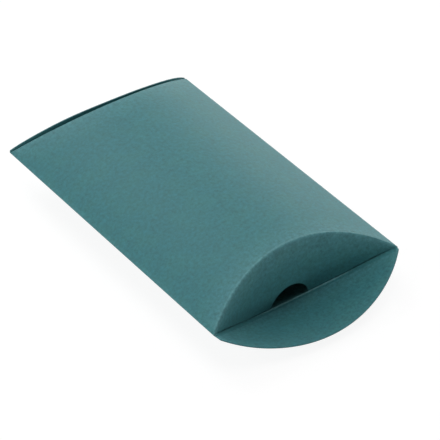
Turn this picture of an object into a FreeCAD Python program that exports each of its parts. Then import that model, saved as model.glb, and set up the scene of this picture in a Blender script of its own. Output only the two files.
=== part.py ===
# Pillow box: one scored and glued card, split at its own score lines.
# X runs across the box, Y along it with the near end at -Y, and Z up. The origin is on the table,
# under the middle of the belly. Sketches are drawn about the plane of the two side folds.
import FreeCAD, Part
import os
from math import atan2, sqrt

import Sketcher

doc = FreeCAD.newDocument("PillowBox")
sizes = doc.addObject("Spreadsheet::Sheet", "Sizes")

# Driving sizes in millimetres, and angles in degrees
driving = [
    ("box_length", 160, "corner to corner along a side fold"),
    ("box_width", 100, "side fold to side fold"),
    ("box_height", 33.6, "crown to belly, before the belly is pressed flat"),
    ("board", 0.5, "thickness of the card"),
    ("rest_depth", 0.1, "how much of the belly is pressed flat on the table"),
    ("side_fold", 1.8, "width of the folded strip at each side"),
    ("crease_inset", 14.6, "how far the middle of an end crease lies in from its corners"),
    ("score_width", 1.2, "width of the crushed strip along an end crease"),
    ("score_depth", 0.12, "how deep the scoring rule presses the card"),
    ("score_gap", 0.03, "parting line between a panel and its scored strip"),
    ("fold_gap", 0.1, "gap between a scored strip and its flap"),
    ("nest_gap", 0.6, "gap between a tuck flap and the cover flap outside it"),
    ("edge_clear", 0.8, "how far a closed flap stops short of the crease opposite"),
    ("open_rise", 8.5, "how far the open cover flap springs up from the line of its panel"),
    ("cover_lean", 3.5, "how far the closed cover flap leans out from upright"),
    ("notch_radius", 10.4, "thumb notch in a tuck flap"),
    ("notch_drop", 1.5, "how far the middle of the notch lies below the free edge"),
    ("tab_width", 12, "glue tab, across the box"),
    ("tab_length", 128, "glue tab, along the box"),
    ("tab_setback", 0.1, "gap between the glue tab and its fold"),
    ("glue_width", 7, "line of adhesive, across the box"),
    ("glue_length", 118, "line of adhesive, along the box"),
    ("glue_film", 0.1, "thickness of the adhesive"),
    ("glue_gap", 0.01, "parting line on each side of the adhesive"),
]
for row, (alias, number, meaning) in enumerate(driving, 1):
    sizes.set(f"A{row}", meaning)
    sizes.set(f"B{row}", str(number))
    sizes.setAlias(f"B{row}", alias)
doc.recompute()

# Lengths that several pieces share, written as expressions of the sheet
halfLength = "Sizes.box_length / 2"
halfWidth = "Sizes.box_width / 2"
rise = "Sizes.box_height / 2"
inset = "Sizes.crease_inset"
board = "Sizes.board"
nest = "(Sizes.board + Sizes.nest_gap)"
panelEdge = f"({halfWidth} - Sizes.side_fold)"
overreach = "Sizes.box_height * 3"

near, far = -1, 1
upper, lower = 1, -1


def value(expression):
    return float(sizes.evalExpression(expression))


# Radius of an arc whose chord is the width of the box
def arcRadius(sagitta):
    return f"(({halfWidth})^2 + ({sagitta})^2) / (2 * ({sagitta}))"


panelRadius = f"({arcRadius(rise)})"


def newBody(name):
    body = doc.addObject("PartDesign::Body", name)
    body.Label = name
    body.setExpression("Placement.Base.z", f"{rise} - Sizes.rest_depth")
    return body


def newSketch(body, name, role):
    plane = next(p for p in body.Origin.OriginFeatures if p.Role == role)
    sketch = body.newObject("Sketcher::SketchObject", name)
    sketch.AttachmentSupport = [(plane, "")]
    sketch.MapMode = "FlatFace"
    return sketch


# Tie one dimension of a sketch to an expression
def tie(sketch, expression, *constraint):
    row = sketch.addConstraint(Sketcher.Constraint(*constraint, value(expression)))
    sketch.setExpression(f"Constraints[{row}]", expression)


def tiePoint(sketch, geometry, point, x, y):
    tie(sketch, x, "DistanceX", -1, 1, geometry, point)
    tie(sketch, y, "DistanceY", -1, 1, geometry, point)


def join(sketch, first, firstPoint, second, secondPoint):
    sketch.addConstraint(Sketcher.Constraint("Coincident", first, firstPoint, second, secondPoint))


# An arc about a point of the sketch's upright axis, from x = left to x = right, bulging up (1) or
# down (-1); the answer is the arc and the numbers of its left and right ends
def addArc(sketch, centre, radius, bulge, left, right):
    r = value(radius)
    first, last = (right, left) if bulge > 0 else (left, right)
    angles = [atan2(bulge * sqrt(r**2 - value(x) ** 2), value(x)) for x in (first, last)]
    circle = Part.Circle(FreeCAD.Vector(0, value(centre), 0), FreeCAD.Vector(0, 0, 1), r)
    arc = sketch.addGeometry(Part.ArcOfCircle(circle, *angles), False)
    sketch.addConstraint(Sketcher.Constraint("PointOnObject", arc, 3, -2))
    tie(sketch, centre, "DistanceY", -1, 1, arc, 3)
    tie(sketch, radius, "Radius", arc)
    tie(sketch, first, "DistanceX", -1, 1, arc, 1)
    tie(sketch, last, "DistanceX", -1, 1, arc, 2)
    return (arc, 2, 1) if bulge > 0 else (arc, 1, 2)


def addLine(sketch, start, end):
    return sketch.addGeometry(Part.LineSegment(FreeCAD.Vector(*start), FreeCAD.Vector(*end)), False)


# A strip of card in section: two arcs about one centre, closed at both ends
def addBand(sketch, centre, outer, inner, bulge, left, right):
    arcs = [addArc(sketch, centre, radius, bulge, left, right) for radius in (outer, inner)]
    for side in (1, 2):
        ends = [(arc[0], arc[side]) for arc in arcs]
        line = addLine(sketch, *(sketch.getPoint(*end) for end in ends))
        join(sketch, line, 1, *ends[0])
        join(sketch, line, 2, *ends[1])


def addPolygon(sketch, corners):
    spots = [(value(x), value(y), 0) for x, y in corners]
    lines = [addLine(sketch, a, b) for a, b in zip(spots, spots[1:] + spots[:1])]
    for line, following, (x, y) in zip(lines, lines[1:] + lines[:1], corners):
        tiePoint(sketch, line, 1, x, y)
        join(sketch, line, 2, following, 1)


def pad(body, sketch, length):
    feature = body.newObject("PartDesign::Pad", f"{body.Name}_pad")
    feature.Profile = sketch
    feature.SideType = "Symmetric"
    feature.setExpression("Length", length)
    doc.recompute()


# Cut right through the body, both ways from the sketch
def pocket(body, sketch):
    before = body.Shape.Volume
    feature = body.newObject("PartDesign::Pocket", f"{sketch.Name}_pocket")
    feature.Profile = sketch
    feature.SideType = "Symmetric"
    feature.Type = "ThroughAll"
    doc.recompute()
    if body.Shape.Volume >= before:
        raise RuntimeError(f"{sketch.Name} cuts nothing")


# Seen from above, everything on one side of an end crease: the crease is an arc that bulges into the box
def addPlanCut(sketch, end, setback, toward):
    centre = f"{end} * ({halfLength} - ({setback}) - {inset} + {arcRadius(inset)})"
    reach = f"{halfWidth} + Sizes.side_fold"
    arc, left, right = addArc(sketch, centre, arcRadius(inset), -end, f"-({reach})", reach)
    limit = f"{toward} * Sizes.box_length"
    corners = [(f"-({reach})", limit), (reach, limit)]
    spots = [(value(x), value(y), 0) for x, y in corners]
    sides = [
        addLine(sketch, sketch.getPoint(arc, left), spots[0]),
        addLine(sketch, spots[0], spots[1]),
        addLine(sketch, spots[1], sketch.getPoint(arc, right)),
    ]
    join(sketch, sides[0], 1, arc, left)
    join(sketch, sides[0], 2, sides[1], 1)
    join(sketch, sides[1], 2, sides[2], 1)
    join(sketch, sides[2], 2, arc, right)
    for side, (x, y) in zip(sides, corners):
        tiePoint(sketch, side, 2, x, y)


def cutEnds(body, setback):
    sketch = newSketch(body, f"{body.Name}_ends", "XY_Plane")
    for end in (near, far):
        addPlanCut(sketch, end, setback, end)
    pocket(body, sketch)


# The belly, pressed flat where the box stands
def cutRest(body):
    sketch = newSketch(body, f"{body.Name}_rest", "XZ_Plane")
    table = f"Sizes.rest_depth - {rise}"
    addPolygon(sketch, [
        (f"-{halfWidth}", f"-{overreach}"),
        (halfWidth, f"-{overreach}"),
        (halfWidth, table),
        (f"-{halfWidth}", table),
    ])
    pocket(body, sketch)


def sectionBody(name, side, outer, inner, left, right, length):
    body = newBody(name)
    sketch = newSketch(body, f"{name}_section", "XZ_Plane")
    addBand(sketch, f"{side} * ({rise} - {panelRadius})", outer, inner, side, left, right)
    pad(body, sketch, length)
    return body


# The top crease lies further in than the bottom one, so that the tuck flap nests inside the cover flap
def creaseSetback(side):
    return nest if side == upper else "0"


def makePanel(name, side):
    inner = f"{panelRadius} - {board}"
    body = sectionBody(name, side, panelRadius, inner, f"-{panelEdge}", panelEdge, "Sizes.box_length * 2")
    cutEnds(body, f"{creaseSetback(side)} + Sizes.score_width")
    if side == lower:
        cutRest(body)


# A living hinge: the strip that the scoring rule has crushed along one end crease
def makeScore(name, end, side):
    outer = f"{panelRadius} - Sizes.score_depth"
    inner = f"{panelRadius} - {board}"
    body = sectionBody(name, side, outer, inner, f"-{panelEdge}", panelEdge, "Sizes.box_length * 2")
    sketch = newSketch(body, f"{name}_ends", "XY_Plane")
    addPlanCut(sketch, end, creaseSetback(side), end)
    addPlanCut(sketch, end, f"{creaseSetback(side)} + Sizes.score_width - Sizes.score_gap", -end)
    pocket(body, sketch)


# The folded edge between the panels: a chevron whose legs end flat against them
def makeSideFold(name, hand):
    body = newBody(name)
    sketch = newSketch(body, f"{name}_section", "XZ_Plane")
    drop = f"({panelRadius} - {rise})"
    outerRise = f"(sqrt({panelRadius}^2 - {panelEdge}^2) - {drop})"
    innerRise = f"(sqrt(({panelRadius} - {board})^2 - {panelEdge}^2) - {drop})"
    innerApex = f"sqrt(({panelRadius} - {board})^2 - {drop}^2)"
    corners = [
        (panelEdge, outerRise),
        (halfWidth, "0"),
        (panelEdge, f"-{outerRise}"),
        (panelEdge, f"-{innerRise}"),
        (innerApex, "0"),
        (panelEdge, innerRise),
    ]
    addPolygon(sketch, [(f"{hand} * {x}", z) for x, z in corners])
    pad(body, sketch, "Sizes.box_length * 2")
    cutEnds(body, nest)


# The tab carries on from the left fold and lies under the top panel, with the adhesive between them
def makeTab():
    under = f"{panelRadius} - {board}"
    left = f"-({panelEdge} - Sizes.tab_setback)"
    filmOuter = f"{under} - Sizes.glue_gap"
    filmInner = f"{filmOuter} - Sizes.glue_film"
    tabOuter = f"{filmInner} - Sizes.glue_gap"
    tabInner = f"{tabOuter} - {board}"
    tabRight = f"{left} + Sizes.tab_width"
    glueLeft = f"{left} + (Sizes.tab_width - Sizes.glue_width) / 2"
    sectionBody("glue_tab", upper, tabOuter, tabInner, left, tabRight, "Sizes.tab_length")
    sectionBody("glue_line", upper, filmOuter, filmInner, glueLeft, f"{glueLeft} + Sizes.glue_width",
                "Sizes.glue_length")


# A flap is straight along its own length, so it is an arc pushed along one direction. That direction
# is given by its angle above the outward level, and side view cuts end it at its crease and free edge.
def makeFlap(name, end, side, angle, sagitta, bulge, turn, outset):
    body = newBody(name)
    corner = f"{end} * ({halfLength} - {creaseSetback(side)})"
    section = newSketch(body, f"{name}_section", "XY_Plane")
    section.AttachmentOffset = FreeCAD.Placement(
        FreeCAD.Vector(0, value(corner), 0), FreeCAD.Rotation(FreeCAD.Vector(1, 0, 0), value(turn))
    )
    section.setExpression("AttachmentOffset.Base.y", corner)
    section.setExpression("AttachmentOffset.Rotation.Angle", turn)
    radius = f"({arcRadius(sagitta)})"
    outer = f"{radius} - {outset}"
    reach = f"({halfWidth} - {board})"
    centre = f"{bulge} * ({sagitta} - {radius})"
    addBand(section, centre, outer, f"{outer} - {board}", bulge, f"-{reach}", reach)
    pad(body, section, overreach)

    along = (f"({end} * cos(({angle}) * 1 deg))", f"sin(({angle}) * 1 deg)")
    crease = (f"(-{end} * {inset})", f"({side} * {rise})")
    edge = tuple(f"({c} + 2 * {rise} * {a})" for c, a in zip(crease, along))
    foot = (corner, "0")

    # Remove what lies behind the crease, then what lies past the free edge
    for cut, line, start, way in (
        ("crease", crease, "Sizes.fold_gap", -1),
        ("edge", edge, "-Sizes.edge_clear", 1),
    ):
        base = [f"{f} + {start} * {a}" for f, a in zip(foot, along)]
        first = [f"{b} - {step} / 4" for b, step in zip(base, line)]
        last = [f"{b} + 2 * {step}" for b, step in zip(base, line)]
        push = [f"{way} * {overreach} * {a}" for a in along]
        sketch = newSketch(body, f"{name}_{cut}", "YZ_Plane")
        addPolygon(sketch, [
            first,
            last,
            [f"{p} + {q}" for p, q in zip(last, push)],
            [f"{p} + {q}" for p, q in zip(first, push)],
        ])
        pocket(body, sketch)
    return body


# The half-round thumb notch in the middle of a tuck flap's free edge
def cutNotch(body):
    sketch = newSketch(body, f"{body.Name}_notch", "XZ_Plane")
    height = f"Sizes.edge_clear - Sizes.notch_drop - {rise}"
    axis = FreeCAD.Vector(0, 0, 1)
    radius = "Sizes.notch_radius"
    circle = sketch.addGeometry(Part.Circle(FreeCAD.Vector(0, value(height), 0), axis, value(radius)), False)
    sketch.addConstraint(Sketcher.Constraint("PointOnObject", circle, 3, -2))
    tie(sketch, height, "DistanceY", -1, 1, circle, 3)
    tie(sketch, radius, "Radius", circle)
    pocket(body, sketch)


makePanel("top_panel", upper)
makePanel("bottom_panel", lower)
makeSideFold("right_side_fold", 1)
makeSideFold("left_side_fold", -1)
makeTab()

for endName, end in (("near", near), ("far", far)):
    makeScore(f"{endName}_tuck_score", end, upper)
    makeScore(f"{endName}_cover_score", end, lower)
    tuck = makeFlap(f"{endName}_tuck_flap", end, upper, "-90", inset, -end, "0", "Sizes.fold_gap")
    cutNotch(tuck)

# The near cover flap lies open, in line with its panel but sprung up a little
openAngle = "Sizes.open_rise"
openSagitta = f"({rise} * cos({openAngle} * 1 deg) - {inset} * sin({openAngle} * 1 deg))"
openFlap = makeFlap(
    "near_cover_flap", near, lower, openAngle, openSagitta, -1, f"90 - {openAngle}", "0"
)
cutRest(openFlap)

# The far cover flap is folded up outside the tuck flap, and leans out
lean = "Sizes.cover_lean"
leanSagitta = f"({inset} * cos({lean} * 1 deg) - {rise} * sin({lean} * 1 deg))"
makeFlap("far_cover_flap", far, lower, f"90 - {lean}", leanSagitta, -1, f"-{lean}", "Sizes.fold_gap")

doc.recompute()
bodies = [thing for thing in doc.Objects if thing.TypeId == "PartDesign::Body"]
for thing in doc.Objects:
    if "Invalid" in thing.State or "Error" in thing.State:
        raise RuntimeError(f"{thing.Name} failed: {thing.State}")
for body in bodies:
    if body.Shape.isNull() or not body.Shape.isValid() or len(body.Shape.Solids) != 1:
        raise RuntimeError(f"{body.Label} is not one valid solid")

os.makedirs("parts", exist_ok=True)
for body in bodies:
    body.Shape.exportStep(f"parts/{body.Label}.step")
    box = body.Shape.BoundBox
    spans = ((box.XMin, box.XMax), (box.YMin, box.YMax), (box.ZMin, box.ZMax))
    print(body.Label, round(body.Shape.Volume, 1), *(f"{a:.2f}..{b:.2f}" for a, b in spans))
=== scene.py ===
import math
import bmesh
import bpy
import numpy as np
from mathutils import Matrix, Vector


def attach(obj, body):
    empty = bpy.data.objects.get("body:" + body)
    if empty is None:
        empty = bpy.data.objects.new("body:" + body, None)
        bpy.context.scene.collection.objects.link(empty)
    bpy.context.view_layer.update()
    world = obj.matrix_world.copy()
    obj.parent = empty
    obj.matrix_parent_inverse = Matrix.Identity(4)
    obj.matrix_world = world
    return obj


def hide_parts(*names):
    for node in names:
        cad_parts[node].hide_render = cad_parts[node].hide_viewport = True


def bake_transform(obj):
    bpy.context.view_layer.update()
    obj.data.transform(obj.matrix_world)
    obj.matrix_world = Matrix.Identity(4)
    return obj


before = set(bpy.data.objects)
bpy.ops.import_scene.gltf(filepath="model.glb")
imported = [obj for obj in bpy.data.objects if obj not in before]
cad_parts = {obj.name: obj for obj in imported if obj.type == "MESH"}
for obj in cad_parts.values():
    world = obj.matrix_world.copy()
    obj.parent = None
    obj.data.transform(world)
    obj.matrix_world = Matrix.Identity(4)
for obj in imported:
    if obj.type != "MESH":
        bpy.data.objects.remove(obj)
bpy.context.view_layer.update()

# the folded blank, in metres, with the sizes of the CAD
box = dict(
    halfWidth=0.05,
    halfLength=0.08,
    rise=0.0168,         # crown above the plane of the side folds
    rest=0.0001,         # pressed flat at the belly
    inset=0.0146,        # middle of an end crease, in from its corners
    nest=0.0011,         # the top creases lie this much further in
    board=0.0005,        # thickness of the card
    sideFold=0.0018,     # folded strip at each side
    score=0.0012,        # crushed strip along each end crease
    foldGap=0.0001,      # between a crease and its folded flap
    foldRound=0.0017,    # from a crease to where its flap begins
)
near, far = -1, 1
upper, lower = 1, -1
zMid = box["rise"] - box["rest"]
panelEdge = box["halfWidth"] - box["sideFold"]
cornerAt = {upper: box["halfLength"] - box["nest"], lower: box["halfLength"]}


def arcRadius(sagitta):
    return (box["halfWidth"] ** 2 + sagitta ** 2) / (2 * sagitta)


panelRadius = arcRadius(box["rise"])
creaseRadius = arcRadius(box["inset"])


# height of the panel's arc over the side folds, and of the crease's arc in plan, at x
def arcAt(x, radius, sagitta, inward=0.0):
    return np.sqrt((radius - inward) ** 2 - x * x) - (radius - sagitta)


# one class for node sums, in materials and in geometry trees
class Wire:
    def __init__(self, tree, socket=None):
        self.tree = tree
        self.socket = socket

    def node(self, kind, settings=None, sockets=None, out=0):
        made = self.tree.nodes.new(kind)
        for name, setting in (settings or {}).items():
            if name == "stops":
                for element, (place, shade) in zip(made.color_ramp.elements, setting):
                    element.position = place
                    element.color = (*shade, 1)
            else:
                setattr(made, name, setting)
        for key, given in (sockets or {}).items():
            target = made.inputs[key] if isinstance(key, int) else self.live(made.inputs, key)
            if isinstance(given, Wire):
                self.tree.links.new(given.socket, target)
            else:
                target.default_value = (*given, 1) if target.type == "RGBA" and len(given) == 3 else given
        return Wire(self.tree, self.live(made.outputs, out)) if made.outputs else None

    # the socket of that name that is in use, or the first in use
    def live(self, sockets, key):
        return next(s for s in sockets if s.enabled and key in (0, s.name))

    def sum(self, operation, *terms):
        return self.node("ShaderNodeMath", {"operation": operation}, dict(enumerate(terms)))

    def __add__(self, other):
        return self.sum("ADD", self, other)

    def __radd__(self, other):
        return self.sum("ADD", other, self)

    def __sub__(self, other):
        return self.sum("SUBTRACT", self, other)

    def __rsub__(self, other):
        return self.sum("SUBTRACT", other, self)

    def __mul__(self, other):
        return self.sum("MULTIPLY", self, other)

    def __rmul__(self, other):
        return self.sum("MULTIPLY", other, self)

    def __truediv__(self, other):
        return self.sum("DIVIDE", self, other)

    def __rtruediv__(self, other):
        return self.sum("DIVIDE", other, self)

    def __pow__(self, other):
        return self.sum("POWER", self, other)

    def __rpow__(self, other):
        return self.sum("POWER", other, self)

    def __neg__(self):
        return self.sum("MULTIPLY", self, -1)

    def __abs__(self):
        return self.sum("ABSOLUTE", self)

    def root(self):
        return self.sum("SQRT", self)

    def low(self, other):
        return self.sum("MINIMUM", self, other)

    def high(self, other):
        return self.sum("MAXIMUM", self, other)

    def ramp(self, start, end):
        sockets = {"Value": self, "From Min": start, "From Max": end}
        return self.node("ShaderNodeMapRange", {"interpolation_type": "SMOOTHSTEP"}, sockets)

    def parts(self):
        made = self.node("ShaderNodeSeparateXYZ", None, {"Vector": self}).socket.node
        return [Wire(self.tree, out) for out in made.outputs]


# the cleared nodes of a material or of the world
def emptyTree(owner):
    owner.use_nodes = True
    owner.node_tree.nodes.clear()
    return Wire(owner.node_tree)


noiseMiddle = 0.5


def noise(start, place, scale, octaves, rough):
    sockets = {"Vector": place, "Scale": scale, "Detail": octaves, "Roughness": rough}
    return start.node("ShaderNodeTexNoise", None, sockets, "Fac")


# uncoated card, dyed through; paler along folds, partly scuffing, partly painted light; cut edges painted
# shade
cardLook = dict(
    cardColour=(0.037, 0.174, 0.193),
    greener=(0.039, 0.178, 0.189),
    wornAndLit=(0.160, 0.370, 0.400),
    cut=(0.025, 0.140, 0.157),
    # each noise: scale, octaves and their roughness
    cloud=(110, 3, 0.55),
    mottle=(650, 2, 0.55),
    grain=(1500, 2, 0.55),
    tooth=(2600, 4, 0.65),
    tones=dict(cloud=0.05, mottle=0.85, grain=0.40),  # how much each one lightens and darkens
    greenFrom=0.42, greenTo=0.66,                     # stretch of the clouds that turns greener
    wearAndLightLeast=0.45, wearAndLightMottle=1.1,                 # the paling for wear and painted light follows the mottle
    rough=0.60, roughSpread=0.14, sheen=0.03, sheenRough=0.6, gloss=0.30,
    toothShare=0.6, grainShare=0.4, bump=0.35, bumpDepth=0.00008,
)
# how strongly panels and creases take the paling for wear and painted light
panelWearAndLightScale, creaseWearAndLightScale = 0.55, 1.0


def cardMaterial(name, look, wearAndLightScale):
    material = bpy.data.materials.new(name)
    start = emptyTree(material)
    place = start.node("ShaderNodeTexCoord", out="Object")
    noises = {k: noise(start, place, *look[k]) for k in ("cloud", "mottle", "grain", "tooth")}
    mottle = noises["mottle"]
    wornAndLit, cut = (
        start.node("ShaderNodeAttribute", {"attribute_name": k}, None, "Fac") for k in ("wearAndLight", "cutEdge")
    )

    def mix(factor, one, other):
        return start.node("ShaderNodeMix", {"data_type": "RGBA"}, {"Factor": factor, "A": one, "B": other})

    cardColour = mix(noises["cloud"].ramp(look["greenFrom"], look["greenTo"]), look["cardColour"], look["greener"])
    # cut edges painted darker: painted shade
    cardColour = mix(cut, cardColour, look["cut"])
    # paler colour for scuffing, painted highlight and painted light near the creases
    wornAndLitShare = wornAndLit * (look["wearAndLightLeast"] + look["wearAndLightMottle"] * mottle) * wearAndLightScale
    cardColour = mix(wornAndLitShare.low(1.0), cardColour, look["wornAndLit"])
    tone = 1.0
    for k, amount in look["tones"].items():
        tone = tone + amount * (noises[k] - noiseMiddle)
    cardColour = start.node("ShaderNodeVectorMath", {"operation": "SCALE"}, {0: cardColour, "Scale": tone})

    height = noises["tooth"] * look["toothShare"] + noises["grain"] * look["grainShare"]
    bump = start.node("ShaderNodeBump", None, {
        "Strength": look["bump"], "Distance": look["bumpDepth"], "Height": height,
    })
    skin = start.node("ShaderNodeBsdfPrincipled", None, {
        "Base Color": cardColour, "Roughness": look["rough"] + look["roughSpread"] * (mottle - noiseMiddle),
        "Normal": bump, "Sheen Weight": look["sheen"], "Sheen Roughness": look["sheenRough"],
        "Specular IOR Level": look["gloss"],
    })
    start.node("ShaderNodeOutputMaterial", None, {"Surface": skin})
    return material


card = cardMaterial("dyedCard", cardLook, panelWearAndLightScale)
creased = cardMaterial("creasedCard", cardLook, creaseWearAndLightScale)

# a brushed film of glue, thin in places
glueLook = dict(
    film=(0.74, 0.72, 0.64), filmAt=0.62, thin=(0.55, 0.58, 0.53), thinAt=0.35,
    spread=(240, 3, 0.5), rough=0.35, roughSpread=0.3, bump=0.3, bumpDepth=0.0001,
)


def glueMaterial(look):
    material = bpy.data.materials.new("driedGlue")
    start = emptyTree(material)
    place = start.node("ShaderNodeTexCoord", out="Object")
    spread = noise(start, place, *look["spread"])
    stops = [(look["thinAt"], look["thin"]), (look["filmAt"], look["film"])]
    tint = start.node("ShaderNodeValToRGB", {"stops": stops}, {"Fac": spread})
    bump = start.node("ShaderNodeBump", None, {
        "Strength": look["bump"], "Distance": look["bumpDepth"], "Height": spread,
    })
    skin = start.node("ShaderNodeBsdfPrincipled", None, {
        "Base Color": tint, "Roughness": look["rough"] + look["roughSpread"] * spread, "Normal": bump,
    })
    start.node("ShaderNodeOutputMaterial", None, {"Surface": skin})
    return material


glue = glueMaterial(glueLook)
print("materials made")


# a geometry tree and its named inputs, as wires
def newTree(name, inputs):
    tree = bpy.data.node_groups.new(name, "GeometryNodeTree")
    tree.is_modifier = True
    tree.interface.new_socket(name="Card", in_out="OUTPUT", socket_type="NodeSocketGeometry")
    kinds = {"Columns": "NodeSocketInt", "Rows": "NodeSocketInt", "Finish": "NodeSocketMaterial"}
    for label in inputs:
        tree.interface.new_socket(name=label, in_out="INPUT", socket_type=kinds.get(label, "NodeSocketFloat"))
    entry = tree.nodes.new("NodeGroupInput")
    return tree, {label: Wire(tree, entry.outputs[label]) for label in inputs}


# a slab of cells, still square, with its three coordinates: across, along and through the card
def newSlab(tree, given):
    start = Wire(tree)
    slab = start.node("GeometryNodeMeshCube", None, {
        "Size": (2, 2, 1), "Vertices X": given["Columns"], "Vertices Y": given["Rows"], "Vertices Z": 2,
    })
    across, along, through = start.node("GeometryNodeInputPosition").parts()
    facing = start.node("GeometryNodeInputNormal").parts()[2]
    return slab, across, along, through + 0.5, facing


def store(mesh, name, domain, value):
    return mesh.node("GeometryNodeStoreNamedAttribute", {"data_type": "FLOAT", "domain": domain},
                     {"Geometry": mesh, "Name": name, "Value": value})


levelFacing = 0.5  # a face of the square slab that looks up or down less than this is a cut edge


# marks paling for wear and painted light, and cut edges for painted shade, on the square slab, then bends it
# into its place
def bendSlab(tree, given, slab, facing, wornAndLit, point):
    start = Wire(tree)
    mesh = store(slab, "wearAndLight", "POINT", wornAndLit)
    mesh = store(mesh, "cutEdge", "FACE", start.sum("LESS_THAN", abs(facing), levelFacing))
    spot = start.node("ShaderNodeCombineXYZ", None, dict(zip("XYZ", point)))
    mesh = start.node("GeometryNodeSetPosition", None, {"Geometry": mesh, "Position": spot})
    mesh = start.node("GeometryNodeRealizeInstances", None, {"Geometry": mesh})
    mesh = start.node("GeometryNodeSetMaterial", None, {"Geometry": mesh, "Material": given["Finish"]})
    start.node("NodeGroupOutput", None, {"Card": mesh})


# a slow unevenness of the sheet, the same on both faces
def unevenness(tree, x, y, seed, look):
    start = Wire(tree)
    spot = start.node("ShaderNodeCombineXYZ", None, {"X": x, "Y": y, "Z": seed})
    return noise(start, spot, *look["wave"]) - noiseMiddle


calmPower = 4  # a higher one takes the unevenness closer to the edges of the sheet


# fades to nothing where one of the two shares of the sheet reaches 1 or -1
def calm(across, along):
    return (1 - across ** calmPower) * (1 - along ** calmPower)


# paler towards a crease: a narrow band of scuffing and painted highlight, and a wide one of painted light
def creaseWearAndLight(distance, look):
    narrow = (1 - distance.ramp(0.0, look["narrowReach"])) * look["narrowWearAndHighlight"]
    wide = (1 - distance.ramp(0.0, look["wideReach"])) * look["widePaintedLight"]
    return narrow + wide


panelLook = dict(
    columns=121, rows=141, waviness=0.00016, wave=(26, 1, 0.5),
    # paler bands along the end creases: the narrow one scuffing and a painted highlight, the wide one painted
    # light
    narrowWearAndHighlight=0.12, narrowReach=0.0025, widePaintedLight=0.2, wideReach=0.014,
    topSeed=3.7, bottomSeed=8.2,
)


# a panel: an arc across, straight along, its ends cut to the curved creases
def panelTree(look):
    tree, given = newTree("bentPanel", [
        "Side", "Edge", "Radius", "Rise", "Crease Radius", "Crease Inset", "Corner", "Score", "Board",
        "Middle", "Waviness", "Seed", "Columns", "Rows", "Finish",
    ])
    slab, across, along, through, facing = newSlab(tree, given)
    side, creaseArc = given["Side"], given["Crease Radius"]
    x = across * given["Edge"]
    radius = given["Radius"] - given["Board"] * (0.5 - side * (through - 0.5))
    height = (radius * radius - x * x).root() - (given["Radius"] - given["Rise"])
    inset = (creaseArc * creaseArc - x * x).root() - creaseArc + given["Crease Inset"]
    reach = given["Corner"] - inset - given["Score"]
    y = along * reach
    wave = unevenness(tree, x, y, given["Seed"], look) * given["Waviness"] * calm(across, along)
    z = (given["Middle"] + side * (height + wave)).high(0.0)
    bendSlab(tree, given, slab, facing, creaseWearAndLight(reach - abs(y), look), (x, y, z))
    return tree


flapLook = dict(
    columns=129, rows=45, waviness=0.00012, wave=(34, 1, 0.5),
    # paler bands from the flap's root: the narrow one scuffing and a painted highlight, the wide one painted
    # light
    narrowWearAndHighlight=0.12, narrowReach=0.0022, widePaintedLight=0.18, wideReach=0.012,
    span=0.0495,                         # half its width at the corners
    notchRadius=0.0104, notchShare=0.3,  # the notch and its share of the columns
    liftAt=-0.5, liftWidth=0.36,         # where a free edge stands up, in half widths of the box
    fullPower=4,                         # a higher one moves an edge's fullness closer to the corners
)


# rises from 0 to 1 and falls back, as a share goes from 0 to 1
def hump(share):
    return 4 * share * (1 - share)


# how far a flap's free edge lies from its crease; takes wires, and numbers too
def freeEdge(sideways, height, rise, clear, shoulder, skew, fullness, lift):
    fromLift = (sideways - flapLook["liftAt"]) / flapLook["liftWidth"]
    edge = height * (2 - (clear + shoulder) / rise)
    edge = edge + shoulder * (1 - skew * sideways * sideways * sideways)
    edge = edge + fullness * hump(sideways ** flapLook["fullPower"])
    return edge + lift * math.e ** -(fromLift * fromLift)


# how far a flap springs back from its fold, between its crease and its free edge
def flapBow(spring, done, height, rise):
    return spring * hump(done) * (height / rise) ** 2


# columns that crowd towards the ends of the notch
def crowdedColumns(across, given):
    share, notch = given["Notch Share"], given["Notch Radius"]
    quarterTurn = (abs(across) / share).low(1.0) * (math.pi / 2)
    beyond = ((abs(across) - share) / (1 - share)).high(0.0)
    out = across.sum("SINE", quarterTurn) * notch + (given["Span"] - notch) * beyond
    return across.sum("SIGN", across) * out + given["Notch Middle"] * (1 - beyond)


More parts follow.
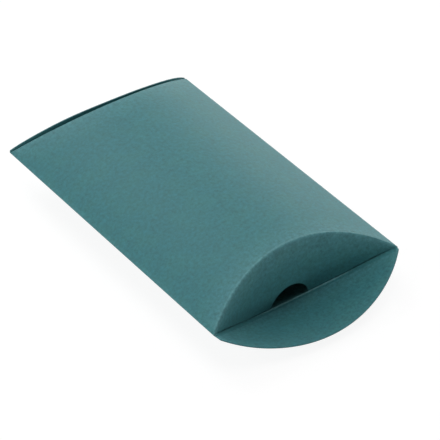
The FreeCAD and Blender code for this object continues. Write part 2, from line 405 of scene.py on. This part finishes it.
# a flap: its crease's arc pushed along one direction, to a free edge with or without a thumb notch
def flapTree(look):
    tree, given = newTree("curvedFlap", [
        "End", "Side", "Span", "Half Width", "Radius", "Rise", "Crease Radius", "Crease Inset", "Corner",
        "Middle", "Lean Y", "Lean Z", "Root", "Edge Clear", "Shoulder", "Skew", "Fullness", "Lift", "Spring",
        "Inside", "Outside", "Notch Radius", "Notch Height", "Notch Middle", "Notch Share", "Waviness",
        "Seed", "Columns", "Rows", "Finish",
    ])
    slab, across, along, through, facing = newSlab(tree, given)
    end, side, rise, leanY, leanZ = (given[k] for k in ("End", "Side", "Rise", "Lean Y", "Lean Z"))
    radius, creaseArc, notch = (given[k] for k in ("Radius", "Crease Radius", "Notch Radius"))
    x = crowdedColumns(across, given)
    heightRoot = (radius * radius - x * x).root()
    insetRoot = (creaseArc * creaseArc - x * x).root()
    height = heightRoot - (radius - rise)
    inset = insetRoot - (creaseArc - given["Crease Inset"])

    # slopes of the crease give the sheet's normal
    slopeY = end * (x / insetRoot)
    slopeZ = -(side * (x / heightRoot))
    normalX = slopeY * leanZ - slopeZ * leanY
    normalLength = (normalX * normalX + leanY * leanY + leanZ * leanZ).root()

    shapes = (given[k] for k in ("Edge Clear", "Shoulder", "Skew", "Fullness", "Lift"))
    whole = freeEdge(x / given["Half Width"], height, rise, *shapes)
    root = (whole * 0.5).low(given["Root"])
    fromMiddle = x - given["Notch Middle"]
    notchTop = (notch * notch - fromMiddle * fromMiddle).high(0.0).root()
    edge = whole.low(given["Middle"] + height - given["Notch Height"] - notchTop)
    share = along * 0.5 + 0.5
    reach = share * (edge - root) + root
    wave = unevenness(tree, x, reach, given["Seed"], look) * given["Waviness"] * calm(across, share - 1)
    bow = flapBow(given["Spring"], reach / whole, height, rise)
    off = given["Inside"] + (given["Outside"] - given["Inside"]) * through + wave + bow
    outX, outY, outZ = (n / normalLength * off for n in (normalX, -leanZ, leanY))
    y = end * (given["Corner"] - inset) + reach * leanY + outY
    z = given["Middle"] + side * height + reach * leanZ + outZ
    bendSlab(tree, given, slab, facing, creaseWearAndLight(reach - root, look), (x + outX, y, z))
    return tree


sharpAngle = math.radians(40)


# volume inside a closed mesh; negative if it is inside out
def signedVolume(mesh):
    mesh.calc_loop_triangles()
    spots = np.zeros(len(mesh.vertices) * 3)
    mesh.vertices.foreach_get("co", spots)
    corners = np.zeros(len(mesh.loop_triangles) * 3, int)
    mesh.loop_triangles.foreach_get("vertices", corners)
    a, b, c = spots.reshape(-1, 3)[corners].reshape(-1, 3, 3).transpose(1, 0, 2)
    return float(np.einsum("ij,ij->i", a, np.cross(b, c)).sum() / 6)


def finishMesh(mesh):
    if signedVolume(mesh) < 0:
        mesh.flip_normals()
    mesh.shade_smooth()
    mesh.set_sharp_from_angle(angle=sharpAngle)


# runs a tree with its sizes and keeps the plain mesh
def growCard(name, tree, sizes):
    piece = bpy.data.objects.new(name, bpy.data.meshes.new(name))
    bpy.context.scene.collection.objects.link(piece)
    grown = piece.modifiers.new("card", "NODES")
    grown.node_group = tree
    for item in tree.interface.items_tree:
        if item.item_type == "SOCKET" and item.in_out == "INPUT":
            grown[item.identifier] = sizes[item.name]
    graph = bpy.context.evaluated_depsgraph_get()
    mesh = bpy.data.meshes.new_from_object(
        piece.evaluated_get(graph), preserve_all_data_layers=True, depsgraph=graph
    )
    piece.modifiers.clear()
    mesh.name = name
    piece.data = mesh
    finishMesh(mesh)
    return piece


def fixToSleeve(piece, node):
    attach(piece, "sleeve")
    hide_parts(node)


# sizes that the panels and the flaps share
sheetSizes = {
    "Radius": panelRadius, "Rise": box["rise"], "Crease Radius": creaseRadius, "Crease Inset": box["inset"],
    "Middle": zMid, "Finish": card,
}
panelSizes = {
    **sheetSizes, "Edge": panelEdge, "Score": box["score"], "Board": box["board"],
    "Waviness": panelLook["waviness"], "Columns": panelLook["columns"], "Rows": panelLook["rows"],
}
bentPanel = panelTree(panelLook)
for name, node, side, seed in (
    ("topPanel", "top_panel", upper, panelLook["topSeed"]),
    ("bottomPanel", "bottom_panel", lower, panelLook["bottomSeed"]),
):
    panel = growCard(name, bentPanel, {**panelSizes, "Side": side, "Corner": cornerAt[side], "Seed": seed})
    fixToSleeve(panel, node)
print("panels bent")

folded = (box["foldGap"], box["foldGap"] + box["board"])
noNotch = -1.0
plainFlap = dict(
    shoulder=0.0,       # straight start of the free edge at its two corners
    skew=0.0,           # share of the right shoulder that goes to the left one
    fullness=0.0,       # how far the free edge bulges near its corners
    lift=0.0,           # how far it stands up left of its middle
    spring=0.0,         # how far the sheet bows out of its fold
    faces=folded,       # how far its inner and its outer face stand off the crease
    notch=noNotch,      # height of the thumb notch's centre
    notchMiddle=0.0,    # and its place across
)
# each flap: its end and crease, its angle above the outward level, how far its free edge stops short (clear)
# and how far from the crease it has taken the whole turn (bendReach)
flaps = {
    "nearTuckFlap": dict(
        plainFlap, node="near_tuck_flap", body="near_tuck", end=near, side=upper, angle=-90, clear=0.0009,
        fullness=-0.0012, spring=0.0016, notch=-0.0003, notchMiddle=0.0012, seed=1.3, bendReach=0.0235,
    ),
    "nearCoverFlap": dict(
        plainFlap, node="near_cover_flap", body="near_cover", end=near, side=lower, angle=8.5, clear=0.0008,
        shoulder=0.0018, skew=0.85, fullness=0.0003, faces=(-box["board"], 0.0), seed=5.1, bendReach=0.0215,
    ),
    "farTuckFlap": dict(
        plainFlap, node="far_tuck_flap", body="sleeve", end=far, side=upper, angle=-90, clear=0.0012,
        notch=-0.0008, seed=2.4,
    ),
    "farCoverFlap": dict(
        plainFlap, node="far_cover_flap", body="far_cover", end=far, side=lower, angle=86.5, clear=0.0012,
        fullness=0.0004, lift=0.0008, seed=6.6, bendReach=0.0225,
    ),
}
openAngle = 45  # a flap at less than this lies open


def liesOpen(flap):
    return abs(flap["angle"]) < openAngle


def leanOf(flap):
    angle = math.radians(flap["angle"])
    return flap["end"] * math.cos(angle), math.sin(angle)


# the sheet's normal turns over with the end and the side, so the faces' stand-off takes a sign
def outwardSign(flap):
    leanY, leanZ = leanOf(flap)
    outward = leanY * flap["side"] if liesOpen(flap) else -leanZ * flap["end"]
    return 1 if outward > 0 else -1


flapSizes = {
    **sheetSizes, "Span": flapLook["span"], "Half Width": box["halfWidth"], "Root": box["foldRound"],
    "Notch Radius": flapLook["notchRadius"], "Notch Share": flapLook["notchShare"],
    "Waviness": flapLook["waviness"], "Columns": flapLook["columns"], "Rows": flapLook["rows"],
}
curvedFlap = flapTree(flapLook)
flapPieces = {}
for name, flap in flaps.items():
    leanY, leanZ = leanOf(flap)
    sign = outwardSign(flap)
    inside, outside = flap["faces"]
    flapPieces[name] = growCard(name, curvedFlap, {
        **flapSizes, "End": flap["end"], "Side": flap["side"], "Corner": cornerAt[flap["side"]],
        "Lean Y": leanY, "Lean Z": leanZ, "Inside": sign * inside, "Outside": sign * outside,
        "Edge Clear": flap["clear"], "Shoulder": flap["shoulder"], "Skew": flap["skew"],
        "Fullness": flap["fullness"], "Lift": flap["lift"], "Spring": sign * flap["spring"],
        "Notch Height": flap["notch"], "Notch Middle": flap["notchMiddle"], "Seed": flap["seed"],
    })
print("flaps bent")

weldDistance = 1e-7
innerWearAndLight = 0.6  # paling for wear and painted light on the inner face, as a share of the outer one's


# a closed shell of card from the points of its two faces, rows by columns
def shellPiece(name, outer, inner, wornAndLit, material):
    rows, columns = outer.shape[:2]
    count = rows * columns
    grid = np.arange(count).reshape(rows, columns)
    corners = (grid[:-1, :-1], grid[:-1, 1:], grid[1:, 1:], grid[1:, :-1])
    faces = []
    for a, b, c, d in zip(*(corner.ravel().tolist() for corner in corners)):
        faces += [(a, b, c, d), (a + count, d + count, c + count, b + count)]
    rim = [*grid[0, :], *grid[1:, -1], *grid[-1, -2::-1], *grid[-2:0:-1, 0]]
    rim = [int(a) for a in rim]
    for a, b in zip(rim, rim[1:] + rim[:1]):
        faces.append((a, a + count, b + count, b))
    mesh = bpy.data.meshes.new(name)
    spots = np.concatenate([outer.reshape(-1, 3), inner.reshape(-1, 3)])
    mesh.from_pydata(spots.tolist(), [], faces)
    wearAndLight = mesh.attributes.new("wearAndLight", "FLOAT", "POINT")
    bothFaces = np.concatenate([wornAndLit.ravel(), wornAndLit.ravel() * innerWearAndLight])
    wearAndLight.data.foreach_set("value", bothFaces.astype(np.float32))
    mesh.attributes.new("cutEdge", "FLOAT", "FACE")
    mesh.materials.append(material)
    cells = bmesh.new()
    cells.from_mesh(mesh)
    bmesh.ops.remove_doubles(cells, verts=cells.verts, dist=weldDistance)  # rows run together at the corners
    cells.to_mesh(mesh)
    cells.free()
    finishMesh(mesh)
    piece = bpy.data.objects.new(name, mesh)
    bpy.context.scene.collection.objects.link(piece)
    return piece


# shares of the start, the corner and the end of a round bend
def bendShares(turn):
    return (1 - turn) ** 2, 2 * turn * (1 - turn), turn * turn


# the crushed strip of an end crease and the round of its fold, from the panel to the root of the flap
strip = dict(
    columns=121, endColumns=9, panelRows=7, foldRows=11,
    panelFade=0.0003,  # past the panel's edge the strip narrows to the fold alone
    groove=0.00007, grooveAt=0.0008, grooveWidth=0.00035,
    # paler along the crease: scuffing with a painted highlight; at the panel side it carries on the panel's
    # painted light
    wearAndLight=0.38, panelWearAndLight=0.5, panelWearAndLightPower=1.5, rootFade=0.55,
    # a fine bead that stands up on the inside of an open crease, painted paler along its crest as a highlight
    bead=0.00035, beadAt=-0.0002, beadWidth=0.0004, beadOutside=0.5, beadHighlight=1.6,
    beadMiddle=0.006, beadFrom=0.027, beadTo=0.017,
)


# the outward normal of a flap's sheet along its crease
def sheetNormal(x, flap):
    leanY, leanZ = leanOf(flap)
    slopeY = flap["end"] * x / np.sqrt(creaseRadius ** 2 - x * x)
    slopeZ = -flap["side"] * x / np.sqrt(panelRadius ** 2 - x * x)
    normal = np.stack([slopeY * leanZ - slopeZ * leanY, np.full_like(x, -leanZ), np.full_like(x, leanY)], -1)
    return normal * outwardSign(flap) / np.linalg.norm(normal, axis=1)[:, None]


# where the round of a fold gives way to its flap: the reach, and the points of the outer and inner face
def flapRoot(x, rise, crease, flap):
    shapes = (flap[k] for k in ("clear", "shoulder", "skew", "fullness", "lift"))
    edge = freeEdge(x / box["halfWidth"], rise, box["rise"], *shapes)
    reach = np.minimum(box["foldRound"], edge / 2)
    bow = flapBow(flap["spring"], reach / edge, rise, box["rise"])
    normal = sheetNormal(x, flap)
    root = crease + reach[:, None] * np.array([0, *leanOf(flap)]) + normal * bow[:, None]
    inside, outside = flap["faces"]
    return reach, root + normal * outside, root + normal * inside


# raises the bead and gives its painted highlight
def raiseBead(outer, inner, distance, x):
    bead = np.exp(-((distance - strip["beadAt"]) / strip["beadWidth"]) ** 2)
    fade = strip["beadFrom"] - strip["beadTo"]
    bead = bead * np.clip((strip["beadFrom"] - np.abs(x - strip["beadMiddle"])) / fade, 0, 1)
    inner[:, :, 2] += strip["bead"] * bead
    outer[:, :, 2] += strip["bead"] * strip["beadOutside"] * bead
    return strip["beadHighlight"] * bead


def creaseStrip(name, node, flap):
    end, side = flap["end"], flap["side"]
    ends = np.linspace(panelEdge, flapLook["span"], strip["endColumns"])[1:]
    x = np.concatenate([-ends[::-1], np.linspace(-panelEdge, panelEdge, strip["columns"]), ends])
    onPanel = np.clip(1 - (np.abs(x) - panelEdge) / strip["panelFade"], 0, 1)[:, None]
    rise = arcAt(x, panelRadius, box["rise"])
    riseInside = np.maximum(arcAt(x, panelRadius, box["rise"], box["board"]), 0)
    creaseY = end * (cornerAt[side] - arcAt(x, creaseRadius, box["inset"]))
    crease = np.stack([x, creaseY, zMid + side * rise], -1)
    creaseInside = np.stack([x, creaseY, zMid + side * riseInside], -1)
    reach, rootOut, rootIn = flapRoot(x, rise, crease, flap)
    # corner points of the two faces, where the lines of panel and flap meet
    cornerOut, cornerIn = crease, creaseInside
    along = np.array([0, end, 0])
    if not liesOpen(flap):
        cornerOut = crease + along * np.abs(rootOut[:, 1] - creaseY)[:, None]
        cornerIn = np.stack([x, rootIn[:, 1], creaseInside[:, 2]], -1)

    outer, inner, wornAndLit, distance = [], [], [], []
    for back in np.linspace(box["score"], 0, strip["panelRows"]):
        press = strip["groove"] * math.exp(-((back - strip["grooveAt"]) / strip["grooveWidth"]) ** 2)
        pressed = np.array([0, end * back, side * press]) * onPanel
        outer.append(crease - pressed)
        inner.append(creaseInside - pressed)
        towards = (1 - back / box["score"]) ** strip["panelWearAndLightPower"]
        wornAndLit.append(strip["wearAndLight"] * (strip["panelWearAndLight"] + (1 - strip["panelWearAndLight"]) * towards))
        distance.append(np.full_like(x, -back))
    for turn in np.linspace(0, 1, strip["foldRows"])[1:]:
        keep, bendIn, arrive = bendShares(turn)
        outer.append(crease * keep + cornerOut * bendIn + rootOut * arrive)
        inner.append(creaseInside * keep + cornerIn * bendIn + rootIn * arrive)
        wornAndLit.append(strip["wearAndLight"] * (1 - strip["rootFade"] * turn))
        distance.append(reach * arrive)
    outer, inner = np.array(outer), np.array(inner)
    outer[:, :, 2] = np.maximum(outer[:, :, 2], 0)  # flat where the box rests
    wornAndLit = np.repeat(np.array(wornAndLit)[:, None], len(x), 1)
    # an open crease is paler only along its bead: a painted highlight
    if liesOpen(flap):
        wornAndLit = raiseBead(outer, inner, np.array(distance), x)
    fixToSleeve(shellPiece(name, outer, inner, wornAndLit, creased), node)


for name, flap in flaps.items():
    creaseStrip(name.replace("Flap", "Score"), flap["node"].replace("flap", "score"), flap)
print("creases folded")

# the straight folded edges, rounded on the outside and pinched shut at the corners
sideLook = dict(
    rows=121, legPoints=6, roundPoints=7,
    round=0.00045, roundStart=0.9, tip=0.35,  # the last two are shares of the round
    step=0.0008,                              # height over which the lower corners give way to the upper ones
    pinch=0.004, pinched=0.04,                # length of the pinch, and the opening left at its end
    # paler over the whole fold, and more along its ridge
    wearAndLight=0.03, ridgeWear=0.12, ridgePower=1.2,
)
rightHand, leftHand = 1, -1


# the outer and the inner face of a side fold in section, from the top panel round to the bottom one
def sideProfiles(look):
    slope = box["halfWidth"] / (panelRadius - box["rise"])
    legX = np.linspace(panelEdge, box["halfWidth"] - look["round"] * look["roundStart"], look["legPoints"])
    legZ = arcAt(legX, panelRadius, box["rise"])
    tip = box["halfWidth"] - look["round"] * look["tip"]
    keep, bendIn, arrive = bendShares(np.linspace(0, 1, look["roundPoints"])[1:])
    roundX = legX[-1] * keep + tip * (bendIn + arrive)
    roundZ = np.maximum(legZ[-1] * keep + (legZ[-1] - (tip - legX[-1]) * slope) * bendIn, 0)
    outerX, outerZ = np.concatenate([legX, roundX]), np.concatenate([legZ, roundZ])
    # the inner points are spread evenly to their own apex
    innerArc = panelRadius - box["board"]
    drop = panelRadius - box["rise"]
    innerX = np.linspace(panelEdge, math.sqrt(innerArc ** 2 - drop ** 2), len(outerX))
    innerZ = np.maximum(np.sqrt(np.maximum(innerArc ** 2 - innerX ** 2, 0)) - drop, 0)
    return [
        np.stack([np.concatenate([x, x[-2::-1]]), np.concatenate([z, -z[-2::-1]])], -1)
        for x, z in ((outerX, outerZ), (innerX, innerZ))
    ]


def sideFoldPiece(name, node, hand, look):
    along = np.linspace(-1, 1, look["rows"])[:, None]
    faces = []
    for profile, shut in zip(sideProfiles(look), (False, True)):
        x, z = profile.T
        high = np.clip(z / look["step"] + 0.5, 0, 1)
        corner = cornerAt[lower] + (cornerAt[upper] - cornerAt[lower]) * high
        reach = corner - arcAt(np.minimum(x, box["halfWidth"]), creaseRadius, box["inset"])
        y = along * reach
        opening = np.ones_like(y)
        if shut:
            opening = np.clip((reach.max() - np.abs(y)) / look["pinch"], look["pinched"], 1)
        faces.append(np.stack([np.broadcast_to(hand * x, y.shape), y, zMid + z * opening], -1))
    outer, inner = faces
    ridge = 1 - np.abs(np.linspace(-1, 1, outer.shape[1]))
    wornAndLit = look["wearAndLight"] + look["ridgeWear"] * ridge ** look["ridgePower"]
    wornAndLit = np.repeat(wornAndLit[None, :], look["rows"], 0)
    fixToSleeve(shellPiece(name, outer, inner, wornAndLit, creased), node)


sideFoldPiece("rightSideFold", "right_side_fold", rightHand, sideLook)
sideFoldPiece("leftSideFold", "left_side_fold", leftHand, sideLook)
print("side folds rounded")


# a flap on the sleeve is fixed to it; any other keeps its place, with its transform baked into its mesh; its
# CAD part is hidden
def hangFlap(piece, flap):
    if flap["body"] == "sleeve":
        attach(piece, "sleeve")
    else:
        end, side = flap["end"], flap["side"]
        middle = Vector((0, end * (cornerAt[side] - box["inset"]), zMid + side * box["rise"]))
        creasePlane = Vector((0, -end * box["inset"], side * box["rise"])).normalized()
        away = Vector((0, -creasePlane.z, creasePlane.y))
        if away.dot(Vector((0, *leanOf(flap)))) < 0:
            away = -away
        middle + away * flap["bendReach"]
        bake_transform(piece)
    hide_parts(flap["node"])


for name, flap in flaps.items():
    hangFlap(flapPieces[name], flap)

# the hidden tab and its glue keep their CAD shapes
for node, material in (("glue_tab", card), ("glue_line", glue)):
    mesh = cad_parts[node].data
    mesh.materials.clear()
    mesh.materials.append(material)
print("flaps hung, tab and glue finished")

# stage, light and camera
stageLook = dict(
    halfSpan=4.0,
    white=(0.95, 0.95, 0.95),
    lift=1.6,    # the floor's colour as it is seen, against its colour as it lights the box
    glow=0.90,   # share of plain white in the floor as it is seen; the rest keeps the shadow
)
lamps = dict(
    back=dict(at=(0.0, 1.1, 0.8), size=0.8, watts=7.5),
    backRight=dict(at=(0.95, 0.85, 0.25), size=0.6, watts=1.8, tint=(1.0, 0.93, 0.82)),
    right=dict(at=(1.0, 0.4, 0.7), size=0.8, watts=4.2),
    left=dict(at=(-1.05, 0.1, 0.7), size=0.8, watts=4.9),
    top=dict(at=(0.0, -0.1, 1.3), size=0.9, watts=5.1),
    lowRight=dict(at=(1.05, -0.75, 0.13), size=0.24, watts=2.9),
    lowLeft=dict(at=(-0.85, -0.95, 0.13), size=0.24, watts=1.6),
)
lens = dict(
    pixels=2419.9, frame=440, sensor=36, farClip=50,  # focal length and width of the frame in pixels
    azimuth=-36.349, elevation=38.432,                # where the camera stands, in degrees
    right=0.00946, up=0.00346, distance=1.096,        # and how far from the origin, along its own axes
)
plainWhite = (1, 1, 1)


def seenRays(start):
    path = start.node("ShaderNodeLightPath").socket.node
    kinds = ("Is Camera Ray", "Is Glossy Ray", "Is Transmission Ray")
    camera, glossy, through = (Wire(start.tree, path.outputs[k]) for k in kinds)
    return (camera + glossy + through).low(1.0)


def layFloor(look):
    span = look["halfSpan"]
    mesh = bpy.data.meshes.new("floor")
    corners = [(-span, -span, 0), (span, -span, 0), (span, span, 0), (-span, span, 0)]
    mesh.from_pydata(corners, [], [(0, 1, 2, 3)])
    floor = bpy.data.objects.new("floor", mesh)
    bpy.context.scene.collection.objects.link(floor)
    material = bpy.data.materials.new("whiteFloor")
    start = emptyTree(material)
    seen = seenRays(start)
    lifted = 1 + (look["lift"] - 1) * seen
    pale = start.node("ShaderNodeVectorMath", {"operation": "SCALE"}, {0: look["white"], "Scale": lifted})
    lit = start.node("ShaderNodeBsdfDiffuse", None, {"Color": pale})
    glow = start.node("ShaderNodeEmission", None, {"Color": plainWhite, "Strength": 1})
    shown = start.node("ShaderNodeMixShader", None, {0: seen * look["glow"], 1: lit, 2: glow})
    start.node("ShaderNodeOutputMaterial", None, {"Surface": shown})
    mesh.materials.append(material)


# white where it is seen, and no light of its own on the box
def setWorld():
    world = bpy.data.worlds.new("studio")
    start = emptyTree(world)
    sky = start.node("ShaderNodeBackground", None, {"Color": plainWhite, "Strength": seenRays(start)})
    start.node("ShaderNodeOutputWorld", None, {"Surface": sky})
    bpy.context.scene.world = world


def hangLamp(name, lamp):
    light = bpy.data.lights.new(name, "AREA")
    light.shape = "DISK"
    light.size = lamp["size"]
    light.energy = lamp["watts"]
    light.color = lamp.get("tint", plainWhite)
    holder = bpy.data.objects.new(name, light)
    holder.location = lamp["at"]
    holder.rotation_euler = (-Vector(lamp["at"])).to_track_quat("-Z", "Y").to_euler()
    bpy.context.scene.collection.objects.link(holder)


def setCamera(look):
    turn, tilt = math.radians(look["azimuth"]), math.radians(look["elevation"])
    back = Vector((math.sin(turn) * math.cos(tilt), -math.cos(turn) * math.cos(tilt), math.sin(tilt)))
    right = Vector((math.cos(turn), math.sin(turn), 0))
    up = back.cross(right)
    camera = bpy.data.cameras.new("camera")
    camera.sensor_width = look["sensor"]
    camera.lens = look["pixels"] * look["sensor"] / look["frame"]
    camera.clip_end = look["farClip"]
    holder = bpy.data.objects.new("camera", camera)
    place = right * look["right"] + up * look["up"] + back * look["distance"]
    holder.matrix_world = Matrix.Translation(place) @ Matrix((right, up, back)).transposed().to_4x4()
    bpy.context.scene.collection.objects.link(holder)
    bpy.context.scene.camera = holder


layFloor(stageLook)
setWorld()
for name, lamp in lamps.items():
    hangLamp(name, lamp)
setCamera(lens)
bpy.context.scene.view_settings.view_transform = "Standard"
print("stage set")
